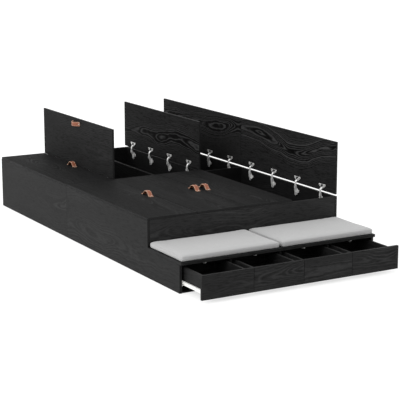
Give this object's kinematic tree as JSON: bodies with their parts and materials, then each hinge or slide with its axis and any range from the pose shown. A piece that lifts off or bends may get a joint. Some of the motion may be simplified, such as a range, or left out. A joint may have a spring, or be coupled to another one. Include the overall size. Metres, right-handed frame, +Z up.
{
  "type": "platform bed with storage drawers",
  "caption": "Low box platform bed with lift-up storage lids, leather pull straps, and a foot bench with cushions over pull-out drawers.",
  "frame": {"origin": "on the floor under the middle of the whole object as stored, with lids raised and drawers drawn out", "axes": "+X to the right seen from the foot, +Y from the foot to the head, +Z up"},
  "size_m": [1.2258, 2.57, 0.614],
  "materials": {
    "black_wood": "black stained wood grain, satin",
    "hinge_steel": "nickel plated, satin",
    "white_runner": "white epoxy coating, semi-gloss",
    "leather": "tan leather with pale cut edges",
    "cushion_fabric": "light grey plain weave, matt"
  },
  "bodies": {
    "carcass": {"side_left_head": "black_wood", "side_left_foot": "black_wood", "side_right_head": "black_wood", "side_right_foot": "black_wood", "head_panel": "black_wood", "foot_panel": "black_wood", "cross_panel": "black_wood", "partition_left": "black_wood", "partition_middle": "black_wood", "partition_right": "black_wood", "base_panel_head": "black_wood", "base_panel_foot": "black_wood", "bench_top": "black_wood", "bench_partition_left": "black_wood", "bench_partition_middle": "black_wood", "bench_partition_right": "black_wood", "bench_base": "black_wood", "bench_runner_rails": "white_runner", "hinge_arms_left_side": "hinge_steel", "hinge_arms_left_partition": "hinge_steel", "hinge_arms_right_partition": "hinge_steel", "hinge_arms_right_side": "hinge_steel"},
    "lid_left_foot": {"lid_left_foot_panel": "black_wood", "lid_left_foot_hinge_cups": "hinge_steel", "lid_left_foot_strap": "leather"},
    "lid_left_head": {"lid_left_head_panel": "black_wood", "lid_left_head_hinge_cups": "hinge_steel", "lid_left_head_strap": "leather"},
    "lid_inner_left_foot": {"lid_inner_left_foot_panel": "black_wood", "lid_inner_left_foot_hinge_cups": "hinge_steel", "lid_inner_left_foot_strap": "leather"},
    "lid_inner_left_head": {"lid_inner_left_head_panel": "black_wood", "lid_inner_left_head_hinge_cups": "hinge_steel", "lid_inner_left_head_strap": "leather"},
    "lid_inner_right_foot": {"lid_inner_right_foot_panel": "black_wood", "lid_inner_right_foot_hinge_cups": "hinge_steel", "lid_inner_right_foot_strap": "leather"},
    "lid_inner_right_head": {"lid_inner_right_head_panel": "black_wood", "lid_inner_right_head_hinge_cups": "hinge_steel", "lid_inner_right_head_strap": "leather"},
    "lid_right_foot": {"lid_right_foot_panel": "black_wood", "lid_right_foot_hinge_cups": "hinge_steel", "lid_right_foot_strap": "leather"},
    "lid_right_head": {"lid_right_head_panel": "black_wood", "lid_right_head_hinge_cups": "hinge_steel", "lid_right_head_strap": "leather"},
    "drawer_left": {"drawer_left_front": "black_wood", "drawer_left_box": "black_wood", "drawer_left_runners": "white_runner"},
    "drawer_inner_left": {"drawer_inner_left_front": "black_wood", "drawer_inner_left_box": "black_wood", "drawer_inner_left_runners": "white_runner"},
    "drawer_inner_right": {"drawer_inner_right_front": "black_wood", "drawer_inner_right_box": "black_wood", "drawer_inner_right_runners": "white_runner"},
    "drawer_right": {"drawer_right_front": "black_wood", "drawer_right_box": "black_wood", "drawer_right_runners": "white_runner"},
    "cushion_left": {"cushion_left": "cushion_fabric"},
    "cushion_right": {"cushion_right": "cushion_fabric"}
  },
  "joints": [
    {"name": "lid_left_foot_hinge", "type": "hinge", "parent": "carcass", "child": "lid_left_foot", "pos_m": [-0.611, -0.2225, 0.3174], "axis": [0, -1, 0], "range_deg": [0, 90]},
    {"name": "lid_left_head_hinge", "type": "hinge", "parent": "carcass", "child": "lid_left_head", "pos_m": [-0.611, 0.7825, 0.3174], "axis": [0, -1, 0], "range_deg": [0, 90]},
    {"name": "lid_inner_left_foot_hinge", "type": "hinge", "parent": "carcass", "child": "lid_inner_left_foot", "pos_m": [-0.311, -0.2225, 0.3174], "axis": [0, -1, 0], "range_deg": [0, 90]},
    {"name": "lid_inner_left_head_hinge", "type": "hinge", "parent": "carcass", "child": "lid_inner_left_head", "pos_m": [-0.311, 0.7825, 0.3174], "axis": [0, -1, 0], "range_deg": [-90, 0]},
    {"name": "lid_inner_right_foot_hinge", "type": "hinge", "parent": "carcass", "child": "lid_inner_right_foot", "pos_m": [0.2852, -0.2225, 0.3174], "axis": [0, 1, 0], "range_deg": [0, 90]},
    {"name": "lid_inner_right_head_hinge", "type": "hinge", "parent": "carcass", "child": "lid_inner_right_head", "pos_m": [0.2852, 0.7825, 0.3174], "axis": [0, 1, 0], "range_deg": [-90, 0]},
    {"name": "lid_right_foot_hinge", "type": "hinge", "parent": "carcass", "child": "lid_right_foot", "pos_m": [0.5852, -0.2225, 0.3174], "axis": [0, 1, 0], "range_deg": [-90, 0]},
    {"name": "lid_right_head_hinge", "type": "hinge", "parent": "carcass", "child": "lid_right_head", "pos_m": [0.5852, 0.7825, 0.3174], "axis": [0, 1, 0], "range_deg": [-90, 0]},
    {"name": "drawer_left_slide", "type": "slide", "parent": "carcass", "child": "drawer_left", "axis": [0, -1, 0], "range_m": [-0.204, 0.046]},
    {"name": "drawer_inner_left_slide", "type": "slide", "parent": "carcass", "child": "drawer_inner_left", "axis": [0, -1, 0], "range_m": [-0.204, 0.046]},
    {"name": "drawer_inner_right_slide", "type": "slide", "parent": "carcass", "child": "drawer_inner_right", "axis": [0, -1, 0], "range_m": [-0.204, 0.046]},
    {"name": "drawer_right_slide", "type": "slide", "parent": "carcass", "child": "drawer_right", "axis": [0, -1, 0], "range_m": [-0.204, 0.046]},
    {"name": "cushion_left_lift", "type": "slide", "parent": "carcass", "child": "cushion_left", "axis": [0, 0, 1], "range_m": [0, 0.25]},
    {"name": "cushion_right_lift", "type": "slide", "parent": "carcass", "child": "cushion_right", "axis": [0, 0, 1], "range_m": [0, 0.25]}
  ]
}
